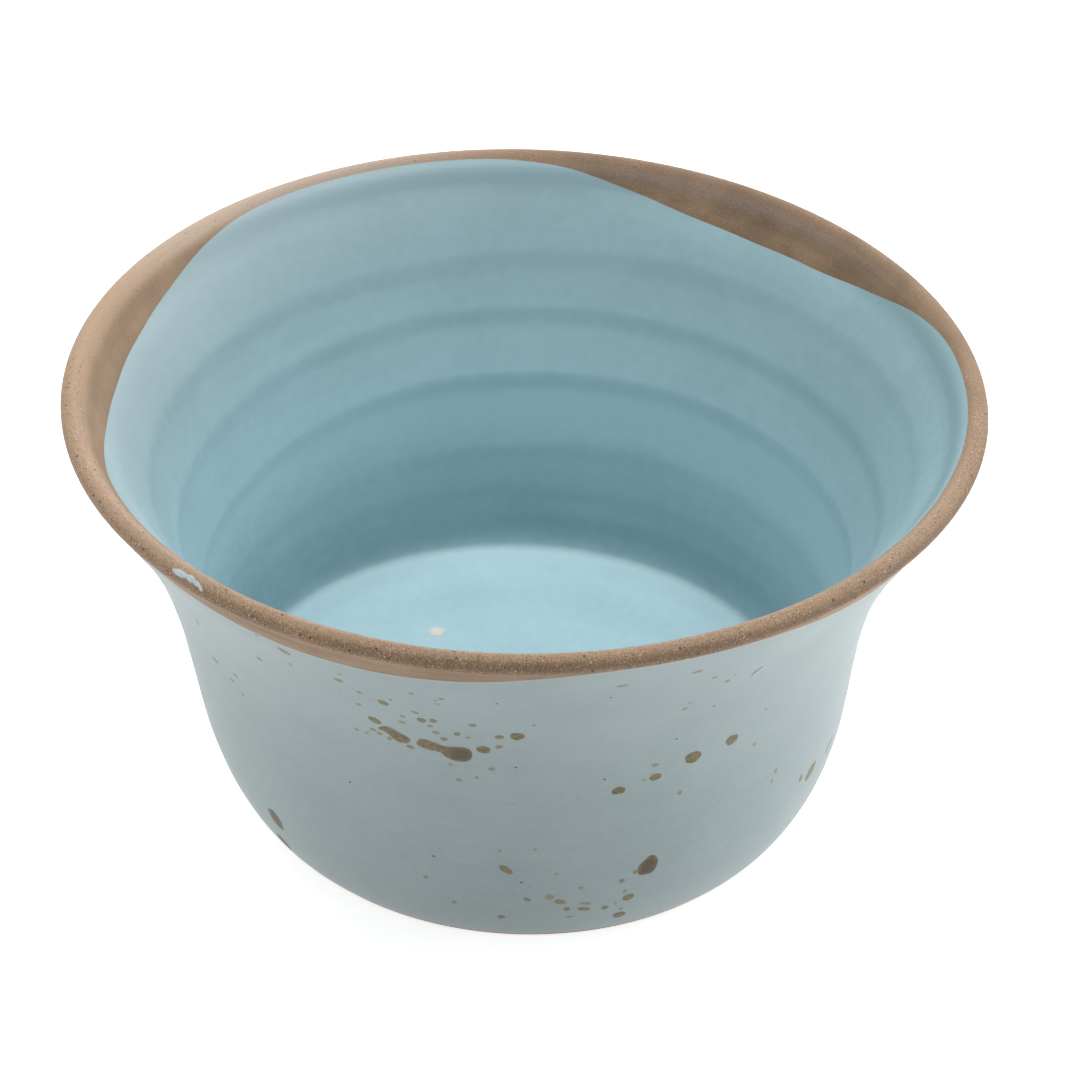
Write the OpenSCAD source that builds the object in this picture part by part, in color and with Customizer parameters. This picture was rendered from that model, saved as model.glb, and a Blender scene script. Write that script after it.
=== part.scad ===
// Hand-thrown stoneware serving bowl.
// A bare clay body carries a glaze coat inside, a glaze coat outside and iron-brown splashes.
// It stands on its foot ring at z = 0, turned about Z. Turns are degrees from +X, and -90 faces -Y.

/* [Bowl] */
// Widest width, across the lip
rim_d = 240; // [228:1:256]
// Height from the table to the top of the lip
bowl_h = 124; // [116:1:134]
// Width across the foot where it stands
foot_d = 140; // [130:1:150]

/* [Wall curve] */
// Rise of the wall where it leaves the foot, in degrees
heel_angle = 48; // [45:1:54]
// Length of wall that follows that rise
heel_pull = 42; // [36:1:46]
// Rise of the wall where it flares into the lip, in degrees
flare_angle = 51; // [47:1:56]
// Length of wall that follows the flare
flare_pull = 71; // [62:1:76]

/* [Clay] */
// Thickness of the wall above the heel
wall = 6; // [5:0.25:7]
// Thickness of the rounded lip
lip_t = 5.4; // [4.6:0.2:6.2]
// Thickness of the floor over the recess, in its middle
floor_t = 9; // [7.5:0.5:11]
// Rise of the dished floor from its middle to its corner
floor_rise = 8; // [5:0.5:10]
// Height of the tight corner between floor and wall
floor_blend = 5; // [4:0.5:8]
// Width of the foot ring
foot_w = 9; // [6:0.5:12]
// Depth of the recess under the floor
foot_recess = 3; // [1.5:0.5:4]

/* [Throwing rings] */
// Depth of the finger grooves inside
ring_depth = 0.6; // [0.2:0.1:1]
// Height from one groove to the next
ring_pitch = 16.2; // [13:0.2:20]
// Height of the lowest groove
ring_start = 36; // [32:0.5:44]

/* [Glaze] */
// Thickness of both glaze coats
glaze_t = 0.5; // [0.3:0.05:0.7]
// Height at which the outer coat stops over the table
glaze_stop = 1; // [0.75:0.25:3]
// Slope of the dip lines inside, in degrees
inside_dip = 17; // [13:1:20]
// Slope of the dip lines outside, in degrees
outside_dip = 24; // [20:1:28]
// Width of the bare spot on the floor
bare_spot_d = 4; // [2:0.5:7]

/* [Splashes] */
// Thickness of the iron splashes on the outer coat
splash_t = 0.25; // [0.15:0.05:0.4]
// Width of one full dab
dab_d = 4; // [3:0.25:5]

/* [Hidden] */
// Dip lines as [turn, depth below the lip]
inside_dips = [[54, 9.5], [172, 10.5]];
outside_dips = [[-117, 13], [-12, 13], [96, 11]];
// Dabs of iron wash as [turn, height in percent of the bowl, width in full dabs]
streak_dabs = [[-112, 68.5, 0.65], [-110.5, 66.5, 0.8], [-109, 65, 1], [-107.3, 64, 0.75],
    [-104.2, 64, 0.75], [-102.4, 63.5, 0.9], [-100.4, 62.5, 1.4], [-98.2, 62, 1.6], [-96.4, 62.5, 1],
    [-95, 64, 0.6], [-93, 68.5, 0.5], [-93, 65.5, 0.55], [-90, 69, 0.55], [-94, 57, 0.55], [-99, 53, 0.5]];
row_dabs = [[-74, 49, 0.6], [-68, 51.5, 0.8], [-68, 55, 0.6], [-61, 54, 0.85], [-54, 55.5, 0.75],
    [-63, 44.5, 0.6]];
oval_dabs = [[-66.4, 26, 1.25], [-67.4, 24, 1.25], [-69.8, 23, 0.6], [-72, 21, 0.55]];
low_dabs = [[-84, 17.5, 0.7], [-82, 16, 0.75], [-81, 13, 0.6], [-78, 14, 0.85], [-74, 12, 0.75],
    [-71, 8.5, 0.75], [-70, 15.5, 0.55], [-92, 27.5, 0.55], [-89, 17.5, 0.6], [-93, 10.5, 0.55],
    [-107, 22, 0.5], [-102, 14.5, 0.55]];
left_dabs = [[-140, 20, 0.75], [-140.6, 18, 0.85], [-143, 11, 0.85], [-143.6, 9, 0.65]];
right_dabs = [[-27.4, 28, 0.75], [-28, 26, 0.9], [-41, 37, 0.65], [-42, 35, 0.6]];
back_dabs = [[70, 68, 0.65], [74, 65, 1.1], [76, 64.5, 0.85], [82, 62, 0.65], [88, 58, 0.9],
    [112, 32, 1.15], [114, 30, 0.8], [120, 23.5, 0.65], [28, 42, 0.85], [26, 37, 0.6]];
// Dabs of the fleck as [place along the lip, width], both in full dabs
fleck_dabs = [[-1, 1.1], [0, 1.25], [1, 0.9]];
fleck_turn = -134;

rim_r = rim_d / 2;
foot_r = foot_d / 2;
lip_r = lip_t / 2;
floor_top = foot_recess + floor_t;
floor_edge = floor_top + floor_rise;
lip_centre = [rim_r - lip_r, bowl_h - lip_r];
// The steps around the lip that the fleck covers
fleck_steps = [3, 6];
// The bare spot's place on the floor
bare_spot = [-22, 42];
// Steps along the curves
wall_steps = 36;
ring_steps = 54;
dish_steps = 10;
blend_steps = 8;
lip_steps = 12;
$fn = 160;

function direction(angle) = [cos(angle), sin(angle)];
function unit(v) = v / norm(v);
function left_of(v) = [-v.y, v.x];
function mix(a, b, share) = a + (b - a) * share;
function clamped(value) = min(1, max(0, value));
// The turn that a length takes up along a circle
function turn_along(length, radius) = length / radius * 180 / PI;

// A cubic curve over four points, and its heading
function curve_at(c, t) = let (u = 1 - t)
    u * u * u * c[0] + 3 * u * u * t * c[1] + 3 * u * t * t * c[2] + t * t * t * c[3];
function heading_at(c, t) = let (u = 1 - t)
    unit(u * u * (c[1] - c[0]) + 2 * u * t * (c[2] - c[1]) + t * t * (c[3] - c[2]));

// The outer wall runs from the foot to the underside of the lip
wall_foot = [foot_r, 0];
wall_top = lip_centre + lip_r * direction(flare_angle - 90);
wall_curve = [wall_foot, wall_foot + heel_pull * direction(heel_angle),
    wall_top - flare_pull * direction(flare_angle), wall_top];

// The inner wall lies one thickness inside it, less the finger grooves
function thickness(t) = mix(wall, lip_t, t);
function plain_inner(t) = curve_at(wall_curve, t) + thickness(t) * left_of(heading_at(wall_curve, t));
function groove(z) = ring_depth * (1 + cos(360 * (z - ring_start) / ring_pitch)) / 2
    * clamped((z - floor_edge - floor_blend) / ring_pitch) * clamped((bowl_h - lip_t - z) / ring_pitch);
function inner(t) = plain_inner(t) - groove(plain_inner(t).y) * left_of(heading_at(wall_curve, t));

// The share of the wall at which a curve reaches a height, found by halving
function outer_share(z, low = 0, high = 1, tries = 24) = let (mid = (low + high) / 2)
    tries == 0 ? mid : curve_at(wall_curve, mid).y < z ? outer_share(z, mid, high, tries - 1)
    : outer_share(z, low, mid, tries - 1);
function inner_share(z, low = 0, high = 1, tries = 24) = let (mid = (low + high) / 2)
    tries == 0 ? mid : plain_inner(mid).y < z ? inner_share(z, mid, high, tries - 1)
    : inner_share(z, low, mid, tries - 1);

// The dished floor, and the tight corner that joins it to the inner wall
join_share = inner_share(floor_edge + floor_blend);
join = inner(join_share);
corner_edge = [join.x - 1.2 * floor_blend, floor_edge];
function dish(share) = [corner_edge.x * share, floor_top + floor_rise * share * share];
dish_end = unit([corner_edge.x, 2 * floor_rise]);
corner = [corner_edge, corner_edge + 0.8 * floor_blend * dish_end,
    join - 0.6 * floor_blend * heading_at(wall_curve, join_share), join];

// Points of the faces, upward
coat_start = outer_share(glaze_stop);
coated_outer = [for (i = [0 : wall_steps]) curve_at(wall_curve, mix(coat_start, 1, i / wall_steps))];
outer_face = concat([wall_foot], coated_outer);
function lip_point(step) = lip_centre + lip_r * direction(flare_angle - 90 + 180 * step / lip_steps);
lip_face = [for (step = [1 : lip_steps - 1]) lip_point(step)];
fleck_face = [for (step = [fleck_steps[0] : fleck_steps[1]]) lip_point(step)];
inner_face = concat([for (i = [0 : dish_steps - 1]) dish(i / dish_steps)],
    [for (i = [0 : blend_steps - 1]) curve_at(corner, i / blend_steps)],
    [for (i = [0 : ring_steps]) inner(mix(join_share, 1, i / ring_steps))]);

// A run of points moved sideways, to the left where the amount is positive, and never past the axis
function heading_of(run, i) = unit(run[min(i + 1, len(run) - 1)] - run[max(i - 1, 0)]);
function moved(run, amount) = [for (i = [0 : len(run) - 1])
    let (point = run[i] + amount * left_of(heading_of(run, i))) [max(0, point.x), point.y]];
function backwards(run) = [for (i = [len(run) - 1 : -1 : 0]) run[i]];

// A coat between two sideways moves of one run
module coat(run, inner_move, outer_move)
    rotate_extrude() polygon(concat(moved(run, inner_move), backwards(moved(run, outer_move))));

// Everything above a sloping line that a dip leaves bare
module above_dip(turn, depth, slope)
    rotate(turn) translate([rim_r - lip_t, 0, bowl_h - depth]) rotate([0, slope, 0])
        translate([-3 * rim_d, -rim_d, 0]) cube([4 * rim_d, 2 * rim_d, bowl_h]);

// A thin patch of iron wash where round dabs meet the outer coat
module splash(dabs) color("#6b6142") intersection() {
    coat(coated_outer, -glaze_t - splash_t, -glaze_t);
    union() for (dab = dabs)
        rotate(dab[0]) translate([foot_r / 2, 0, dab[1] / 100 * bowl_h]) rotate([0, 90, 0])
            cylinder(d = dab[2] * dab_d, h = rim_r);
}

module stoneware_body() color("#a58269") rotate_extrude() polygon(concat(
    [[0, foot_recess], [foot_r - foot_w - foot_recess / 2, foot_recess], [foot_r - foot_w, 0]],
    outer_face, lip_face, backwards(inner_face)));

module inside_glaze() color("#9fc3c9") difference() {
    coat(inner_face, glaze_t, 0);
    for (dip = inside_dips) above_dip(dip[0], dip[1], inside_dip);
    translate([bare_spot.x, bare_spot.y, 0]) cylinder(d = bare_spot_d, h = floor_edge);
}

module outside_glaze() color("#a9bcbe") difference() {
    coat(coated_outer, -glaze_t, 0);
    for (dip = outside_dips) above_dip(dip[0], dip[1], outside_dip);
}

module rim_fleck() color("#a9bcbe") intersection() {
    coat(fleck_face, -glaze_t, 0);
    union() for (dab = fleck_dabs)
        rotate(fleck_turn + turn_along(dab[0] * dab_d, rim_r)) translate([rim_r - lip_r / 2, 0, bowl_h - lip_t])
            cylinder(d = dab[1] * dab_d, h = 2 * lip_t);
}

module streak_splash() splash(streak_dabs);
module row_splash() splash(row_dabs);
module oval_splash() splash(oval_dabs);
module low_splash() splash(low_dabs);
module left_splash() splash(left_dabs);
module right_splash() splash(right_dabs);
module back_splash() splash(back_dabs);

stoneware_body();
inside_glaze();
outside_glaze();
rim_fleck();
streak_splash();
row_splash();
oval_splash();
low_splash();
left_splash();
right_splash();
back_splash();
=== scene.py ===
# %% [markdown]
# # A hand-thrown serving bowl
#
# The bowl is one fired piece of brown stoneware. A satin blue glaze covers it inside and outside, the
# lip stays bare, and iron-brown flicks cross the outer wall. This lesson dresses the plain solids of
# the bowl: every coat and every flick becomes a mesh of its own, with its own finish.
# The first step loads the solids as a fixed frame. Nothing in it is moved, and its box is kept, because
# the dressed bowl has to keep the same size.

import bpy
import numpy as np
from mathutils import Matrix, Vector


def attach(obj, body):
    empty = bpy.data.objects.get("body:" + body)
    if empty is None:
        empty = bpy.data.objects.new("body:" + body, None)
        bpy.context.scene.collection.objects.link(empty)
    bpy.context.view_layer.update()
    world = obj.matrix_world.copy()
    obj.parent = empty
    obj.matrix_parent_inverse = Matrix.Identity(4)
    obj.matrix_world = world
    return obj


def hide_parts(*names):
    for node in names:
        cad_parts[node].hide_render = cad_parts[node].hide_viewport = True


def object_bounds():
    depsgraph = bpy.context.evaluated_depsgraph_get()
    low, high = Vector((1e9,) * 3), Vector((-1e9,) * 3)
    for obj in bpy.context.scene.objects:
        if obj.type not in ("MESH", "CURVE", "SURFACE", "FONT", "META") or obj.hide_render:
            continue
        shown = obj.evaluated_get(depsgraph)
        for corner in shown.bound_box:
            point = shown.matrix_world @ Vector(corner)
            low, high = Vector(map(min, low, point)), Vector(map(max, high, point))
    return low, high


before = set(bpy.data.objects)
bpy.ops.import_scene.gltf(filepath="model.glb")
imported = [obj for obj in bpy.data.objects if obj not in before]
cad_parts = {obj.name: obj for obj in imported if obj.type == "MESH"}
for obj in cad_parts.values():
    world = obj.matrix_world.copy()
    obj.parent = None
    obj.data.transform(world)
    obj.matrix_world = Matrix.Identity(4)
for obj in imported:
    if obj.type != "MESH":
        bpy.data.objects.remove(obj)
cad_box = [list(corner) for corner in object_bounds()]
print("solids:", sorted(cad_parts))

# %% [markdown]
# ## The section of the bowl
#
# A thrown bowl is a section spun around an axis, so one drawing of the section carries everything else.
# The sizes are those of the solids: the wall leaves the foot at one angle, flares at another, and one
# cubic curve joins the two. The inner wall lies one thickness further in, the floor is dished and meets
# the wall in a tight corner, and the lip is half a circle.

# %% Sizes
MM = 0.001
RIM_RADIUS = (cad_box[1][0] - cad_box[0][0]) / 2
BOWL_HEIGHT = cad_box[1][2]
FOOT_RADIUS = 70 * MM
HEEL_ANGLE = 48
HEEL_PULL = 42 * MM
FLARE_ANGLE = 51
FLARE_PULL = 71 * MM
WALL = 6 * MM
LIP_RADIUS = 2.7 * MM
FLOOR_TOP = 12 * MM
FLOOR_RISE = 8 * MM
FLOOR_EDGE = FLOOR_TOP + FLOOR_RISE
FLOOR_BLEND = 5 * MM
GLAZE = 0.5 * MM
GLAZE_STOP = 1 * MM
LIP_CENTRE = np.array([RIM_RADIUS - LIP_RADIUS, BOWL_HEIGHT - LIP_RADIUS])
print("rim", round(RIM_RADIUS / MM, 2), "mm from the axis, height", round(BOWL_HEIGHT / MM, 2), "mm")


# %% Directions and curves
def toward(degrees):
    """Directions on the section at these angles above the outward horizontal."""
    angle = np.radians(degrees)
    return np.stack([np.cos(angle), np.sin(angle)], axis=-1)


def cubic(pulls, shares):
    """Points and headings of a cubic curve at these shares of it."""
    share = np.asarray(shares)[:, None]
    rest = 1 - share
    first, second, third, last = pulls
    points = rest**3 * first + 3 * rest**2 * share * second + 3 * rest * share**2 * third + share**3 * last
    headings = rest**2 * (second - first) + 2 * rest * share * (third - second) + share**2 * (last - third)
    return points, headings / np.linalg.norm(headings, axis=1)[:, None]


def left_of(headings):
    return np.stack([-headings[:, 1], headings[:, 0]], axis=1)


print("the wall sets off towards", np.round(toward(HEEL_ANGLE), 2))


# %% A line of the section
class Section:
    """One line of the section. A place on it is the length along it. Side is 1 for left, -1 for right."""

    def __init__(self, points, side):
        self.points = points
        steps = np.linalg.norm(np.diff(points, axis=0), axis=1)
        self.lengths = np.concatenate([[0], np.cumsum(steps)])
        self.normals = side * left_of(np.gradient(points, self.lengths, axis=0))

    def at(self, lengths):
        """Radius, height and the two parts of the outward normal at these lengths."""
        columns = [self.points[:, 0], self.points[:, 1], self.normals[:, 0], self.normals[:, 1]]
        radius, height, out, up = [np.interp(lengths, self.lengths, column) for column in columns]
        size = np.hypot(out, up)
        return radius, height, out / size, up / size

    def length_at(self, heights):
        """The length at which the line reaches these heights."""
        return np.interp(heights, self.points[:, 1], self.lengths)


slanting = Section(np.array([[0, 0], [3, 4]]) * MM, 1)
print("a line 3 mm out and 4 mm up is", round(slanting.lengths[-1] / MM), "mm long")

# %% The outer and the inner line
WALL_FOOT = np.array([FOOT_RADIUS, 0])
WALL_TOP = LIP_CENTRE + LIP_RADIUS * toward(FLARE_ANGLE - 90)
WALL_PULLS = [WALL_FOOT, WALL_FOOT + HEEL_PULL * toward(HEEL_ANGLE),
              WALL_TOP - FLARE_PULL * toward(FLARE_ANGLE), WALL_TOP]


def outer_line():
    """From the foot up the wall and over the lip to its top."""
    wall, _ = cubic(WALL_PULLS, np.linspace(0, 1, 300))
    lip = LIP_CENTRE + LIP_RADIUS * toward(np.linspace(FLARE_ANGLE - 90, 90, 60))
    return np.concatenate([wall, lip[1:]])


def inner_line():
    """From the middle of the dished floor round its corner, up the inner wall and to the lip's top."""
    shares = np.linspace(0, 1, 400)
    points, headings = cubic(WALL_PULLS, shares)
    thickness = WALL + (2 * LIP_RADIUS - WALL) * shares
    wall = points + thickness[:, None] * left_of(headings)
    join = int(np.argmax(wall[:, 1] > FLOOR_EDGE + FLOOR_BLEND))
    edge = np.array([wall[join, 0] - 1.2 * FLOOR_BLEND, FLOOR_EDGE])
    across = np.linspace(0, 1, 80)[:-1, None]
    dish = np.concatenate([edge[0] * across, FLOOR_TOP + FLOOR_RISE * across**2], axis=1)
    slope = np.degrees(np.arctan2(2 * FLOOR_RISE, edge[0]))
    corner_pulls = [edge, edge + 0.8 * FLOOR_BLEND * toward(slope),
                    wall[join] - 0.6 * FLOOR_BLEND * headings[join], wall[join]]
    corner, _ = cubic(corner_pulls, np.linspace(0, 1, 60))
    lip = LIP_CENTRE + LIP_RADIUS * toward(np.linspace(FLARE_ANGLE + 90, 90, 40))
    return np.concatenate([dish, corner, wall[join + 1:], lip[1:]])


OUTER = Section(outer_line(), -1)
INNER = Section(inner_line(), 1)
CORNER_START = INNER.length_at(FLOOR_EDGE)
CORNER_END = INNER.length_at(FLOOR_EDGE + FLOOR_BLEND)
outer_length, inner_length = [round(line.lengths[-1] / MM, 1) for line in (OUTER, INNER)]
print("outer line", outer_length, "mm, inner line", inner_length, "mm")

# %% [markdown]
# ## What the potter's hands left
#
# Fingers that rise while the wheel turns leave one long spiral. Inside it shows as a crest that falls
# off steeply below and gently above, so it is written as heights at four turns for each lap, with one
# strength a lap. A last bead of clay stands under the lip. Outside, the wall was smoothed and only faint
# bands are left. No hand-thrown bowl is quite true. This one was trimmed off its middle, so outside the
# foot stands a little to the right of the lip, and the lip is a touch out of round and rises a millimetre
# at the front and the back. A modifier could add such marks to a finished mesh, but then every coat would
# need them too. Here everything on the bowl goes through the same two surfaces, outside and inside, so
# that coats and flicks follow the clay under them.


# %% Soft steps and bumps
def ramp(values, start, end):
    """A soft step from 0 at start to 1 at end."""
    share = np.clip((values - start) / (end - start), 0, 1)
    return share * share * (3 - 2 * share)


def bump(values, middle, width):
    return np.exp(-(((values - middle) / width) ** 2))


def near_turn(turns, turn, reach):
    """1 at one turn of the bowl in degrees, and 0 away from it."""
    return bump(1 - np.cos(turns - np.radians(turn)), 0, reach)


print("a quarter of the way through a soft step it has risen by", ramp(0.25, 0, 1))

# %% Finger crests
CREST_TURNS = np.array([20, 65, 110, 165])
CREST_HEIGHTS = np.array([[118, 116.5, 114.5, 112], [107, 105, 101, 99.5], [92, 90.5, 88.5, 83.5],
                          [74, 73.5, 71, 63.5], [53.5, 54, 50.5, 45.5], [40, 40, 39.5, 37],
                          [32.5, 31.5, 30, 27.5]]) * MM
CREST_SHARES = np.array([0.1, 0.8, 0.95, 1.2, 0.6, 0.35, 0.7])
CREST_RISE = 0.5 * MM
CREST_DROP = 5.6 * MM
CREST_FALL = 14 * MM
BEAD_RISE = 0.5 * MM
BEAD_HEIGHTS = np.array([117, 120.8, 124]) * MM


def along_spiral(turns, lap):
    """Degrees along the spiral at these turns, on one of its laps counted from the top."""
    return np.degrees(turns) % 360 + 360 * lap


def crest_height(turns, lap):
    laps = np.arange(len(CREST_HEIGHTS))
    spiral = (CREST_TURNS[None, :] + 360 * laps[:, None]).ravel()
    return np.interp(along_spiral(turns, lap), spiral, CREST_HEIGHTS.ravel())


def crest_share(turns, lap):
    """Strength of the crest, which starts and ends with nothing."""
    laps = np.arange(len(CREST_SHARES))
    spiral = np.concatenate([[0], 90 + 360 * laps, [360 * len(laps)]])
    return np.interp(along_spiral(turns, lap), spiral, np.concatenate([[0], CREST_SHARES, [0]]))


def finger_marks(turns, heights):
    """How far the crests that the fingers left, and the bead under the lip, stand off the inner wall."""
    marks = BEAD_RISE * ramp(heights, *BEAD_HEIGHTS[:2]) * ramp(heights, *BEAD_HEIGHTS[:0:-1])
    for lap in range(len(CREST_HEIGHTS)):
        above = heights - crest_height(turns, lap)
        upper = np.clip(1 - above / CREST_FALL, 0, 1) ** 2
        crest = np.where(above > 0, upper, ramp(above, -CREST_DROP, 0))
        marks = marks + CREST_RISE * crest_share(turns, lap) * crest
    return marks


crests_at_back = [round(float(crest_height(np.pi / 2, lap)) / MM, 1) for lap in range(len(CREST_HEIGHTS))]
print("crests at the back:", crests_at_back, "mm")

# %% Turning marks and floor waves
MARK_HEIGHTS = np.array([30, 53, 69, 91]) * MM
MARK_DEPTH = 0.06 * MM
MARK_WIDTH = 3 * MM
MARK_WAVER = 0.6 * MM
CREASE_HEIGHT = 117.4 * MM
CREASE_DEPTH = 0.3 * MM
CREASE_WIDTH = 1.7 * MM
CREASE_TURNS = [-117, -12, 96]
CREASE_REACH = 0.12
FLOOR_WAVE = 0.1 * MM
FLOOR_WAVE_PITCH = 22 * MM
FLOOR_WAVE_START = np.array([20, 40]) * MM
FLOOR_WAVE_END = 2 * MM


def turning_marks(turns, heights):
    """Faint raised bands on the outer wall and the crease under the lip's roll."""
    bands = 0
    for mark in MARK_HEIGHTS:
        wavering = mark + MARK_WAVER * np.sin(turns + mark / MM)
        bands = bands + bump(heights, wavering, MARK_WIDTH)
    bare = sum(near_turn(turns, turn, CREASE_REACH) for turn in CREASE_TURNS)
    return MARK_DEPTH * bands - CREASE_DEPTH * bare * bump(heights, CREASE_HEIGHT, CREASE_WIDTH)


def floor_wave(radius, heights):
    """Low waves that the fingers left on the floor."""
    wave = FLOOR_WAVE * np.cos(2 * np.pi * (radius - CORNER_START) / FLOOR_WAVE_PITCH)
    return wave * ramp(radius, *FLOOR_WAVE_START) * ramp(heights, FLOOR_EDGE, FLOOR_EDGE - FLOOR_WAVE_END)


print(len(MARK_HEIGHTS), "bands outside, and waves on the floor every", round(FLOOR_WAVE_PITCH / MM), "mm")

# %% The untrue lip and the two surfaces
SWAY = 2.5 * MM
SWAY_END = 83 * MM
LOBES = [(2, 0.25 * MM, 30), (3, 0.65 * MM, 54), (4, 0.25 * MM, -18)]
RIM_RISE = 0.9 * MM


def placed(turns, radius, height, sway):
    """Points of the bowl in space, with the untrue lip. Low down they lie this far to the right."""
    upper = (height / BOWL_HEIGHT) ** 2
    lobes = sum(depth * np.cos(count * turns - np.radians(turn)) for count, depth, turn in LOBES)
    radius = radius + upper * lobes
    height = height - upper * RIM_RISE * np.cos(2 * turns)
    to_right = radius * np.cos(turns) + sway * (1 - ramp(height, 0, SWAY_END))
    to_back = radius * np.sin(turns)
    return np.stack(np.broadcast_arrays(to_right, to_back, height), axis=-1)


def outside(turns, lengths, lift):
    """Points over the outer wall, lifted off the clay."""
    radius, height, out, up = OUTER.at(lengths)
    lift = lift + turning_marks(turns, height)
    return placed(turns, radius + lift * out, height + lift * up, SWAY)


def inside(turns, lengths, lift):
    """Points over the inner wall, lifted off the clay."""
    radius, height, out, up = INNER.at(lengths)
    lift = lift + finger_marks(turns, height) + floor_wave(radius, height)
    return placed(turns, radius + lift * out, height + lift * up, 0)


lip_turns = np.radians([0, 90, 180, 270])
lip_points = outside(lip_turns, OUTER.lengths[-1], 0)
print("lip heights at the right, back, left and front:", np.round(lip_points[:, 2] / MM, 2), "mm")

# %% [markdown]
# ## From rows of points to closed meshes
#
# Every piece here is a closed skin over rows of points: the clay, the two coats, and each drop of iron
# wash, which is a small lens. Spinning a curve with a modifier would give a bowl too, but not coats whose
# edge rises and falls. So one function joins the rows with four-sided faces, and closes the skin either
# with two middle points or by joining the last row to the first. Traits are numbers stored on the points,
# which the finishes read later, such as how near a point is to the edge of a drop.

# %% Skins
TURNS = 560


def around(count=TURNS):
    return np.arange(count) * 2 * np.pi / count


def skin(rows, traits, middles=None):
    """A closed skin over rows of points. Middles are the first and last point, or None for a ring."""
    rows = np.asarray(rows)
    row_count, count = rows.shape[:2]
    points = rows.reshape(-1, 3)
    values = {name: np.broadcast_to(trait, (row_count, count)).ravel() for name, trait in traits.items()}
    here = np.arange(count)
    ahead = (here + 1) % count
    last = row_count if middles is None else row_count - 1
    low = np.arange(last)[:, None] * count
    high = (np.arange(1, last + 1) % row_count)[:, None] * count
    quads = np.stack([low + here, low + ahead, high + ahead, high + here], axis=-1).reshape(-1, 4)
    fans = np.zeros((0, 3), int)
    if middles is not None:
        first_middle = len(points)
        last_middle = first_middle + 1
        top = (row_count - 1) * count
        fans = np.concatenate([np.stack([np.full(count, first_middle), ahead, here], axis=-1),
                               np.stack([top + here, top + ahead, np.full(count, last_middle)], axis=-1)])
        points = np.concatenate([points, middles])
        values = {name: np.append(value, [value[0], value[-1]]) for name, value in values.items()}
    return points, quads, fans, values


def joined(skins):
    """Several skins as one."""
    points, quads, fans, traits = [], [], [], []
    start = 0
    for skin_points, skin_quads, skin_fans, skin_traits in skins:
        points.append(skin_points)
        quads.append(skin_quads + start)
        fans.append(skin_fans + start)
        traits.append(skin_traits)
        start += len(skin_points)
    names = traits[0].keys()
    values = {name: np.concatenate([trait[name] for trait in traits]) for name in names}
    return np.concatenate(points), np.concatenate(quads), np.concatenate(fans), values


print("a skin has up to", TURNS, "points around the bowl")


# %% Pieces
def piece(name, shape, finish, node=None):
    """A mesh object that rides on the bowl, takes its finish from a slot and may stand for a solid."""
    points, quads, fans, traits = shape
    mesh = bpy.data.meshes.new(name)
    mesh.vertices.add(len(points))
    mesh.vertices.foreach_set("co", points.astype(np.float32).ravel())
    corners = np.concatenate([quads.ravel(), fans.ravel()])
    sizes = np.concatenate([np.full(len(quads), 4), np.full(len(fans), 3)])
    mesh.loops.add(len(corners))
    mesh.loops.foreach_set("vertex_index", corners.astype(np.int32))
    mesh.polygons.add(len(sizes))
    mesh.polygons.foreach_set("loop_start", (np.cumsum(sizes) - sizes).astype(np.int32))
    mesh.update(calc_edges=True)
    mesh.validate()
    mesh.shade_smooth()
    for trait, values in traits.items():
        mesh.attributes.new(trait, "FLOAT", "POINT").data.foreach_set("value", values.astype(np.float32))
    mesh.materials.append(finish)
    made = bpy.data.objects.new(name, mesh)
    bpy.context.scene.collection.objects.link(made)
    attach(made, "root")
    if node:
        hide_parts(node)
    print(name, len(points), "points,", len(sizes), "faces")


print("each piece rides on the root body and has one slot")

# %% [markdown]
# ## Writing finishes as expressions
#
# A finish in Blender is a graph of nodes. To keep the maths readable, a small class wraps one output of a
# node, and adding, subtracting or multiplying it makes the Math nodes. Every other node comes from one
# method, add, which takes the node's type, its settings, and what feeds its sockets.

# %% Values
class Value:
    """One output of a node."""

    def __init__(self, graph, node, output):
        self.graph = graph
        self.node = node
        self.socket = node.outputs[output] if node.outputs else None

    def other(self, output):
        """Another output of the same node."""
        return Value(self.graph, self.node, output)

    def math(self, operation, first, second):
        return self.graph.add("ShaderNodeMath", {"operation": operation}, {0: first, 1: second})

    def __add__(self, other):
        return self.math("ADD", self, other)

    def __sub__(self, other):
        return self.math("SUBTRACT", self, other)

    def __rsub__(self, other):
        return self.math("SUBTRACT", other, self)

    def __mul__(self, other):
        return self.math("MULTIPLY", self, other)

    __radd__ = __add__
    __rmul__ = __mul__


print("a value takes plus, minus and times, with numbers on either side")


# %% Graphs
class Graph:
    """The nodes of a material or a world, which start empty."""

    def __init__(self, owner):
        self.owner = owner
        owner.use_nodes = True
        owner.node_tree.nodes.clear()

    def add(self, kind, settings=None, inputs=None, output=0):
        tree = self.owner.node_tree
        node = tree.nodes.new(kind)
        for name, value in (settings or {}).items():
            setattr(node, name, value)
        for name, value in (inputs or {}).items():
            if isinstance(value, Value):
                tree.links.new(value.socket, node.inputs[name])
            else:
                node.inputs[name].default_value = value
        return Value(self, node, output)

    def backdrop_rays(self):
        """1 for rays that show the backdrop: from the camera, off a glossy surface or through glass."""
        path = self.add("ShaderNodeLightPath", output="Is Camera Ray")
        shown = path.math("MAXIMUM", path, path.other("Is Glossy Ray"))
        return shown.math("MAXIMUM", shown, path.other("Is Transmission Ray"))


print("a graph is an empty material or world until nodes are added")

# %% Finishes
WHEEL_STRETCH = 20


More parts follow.
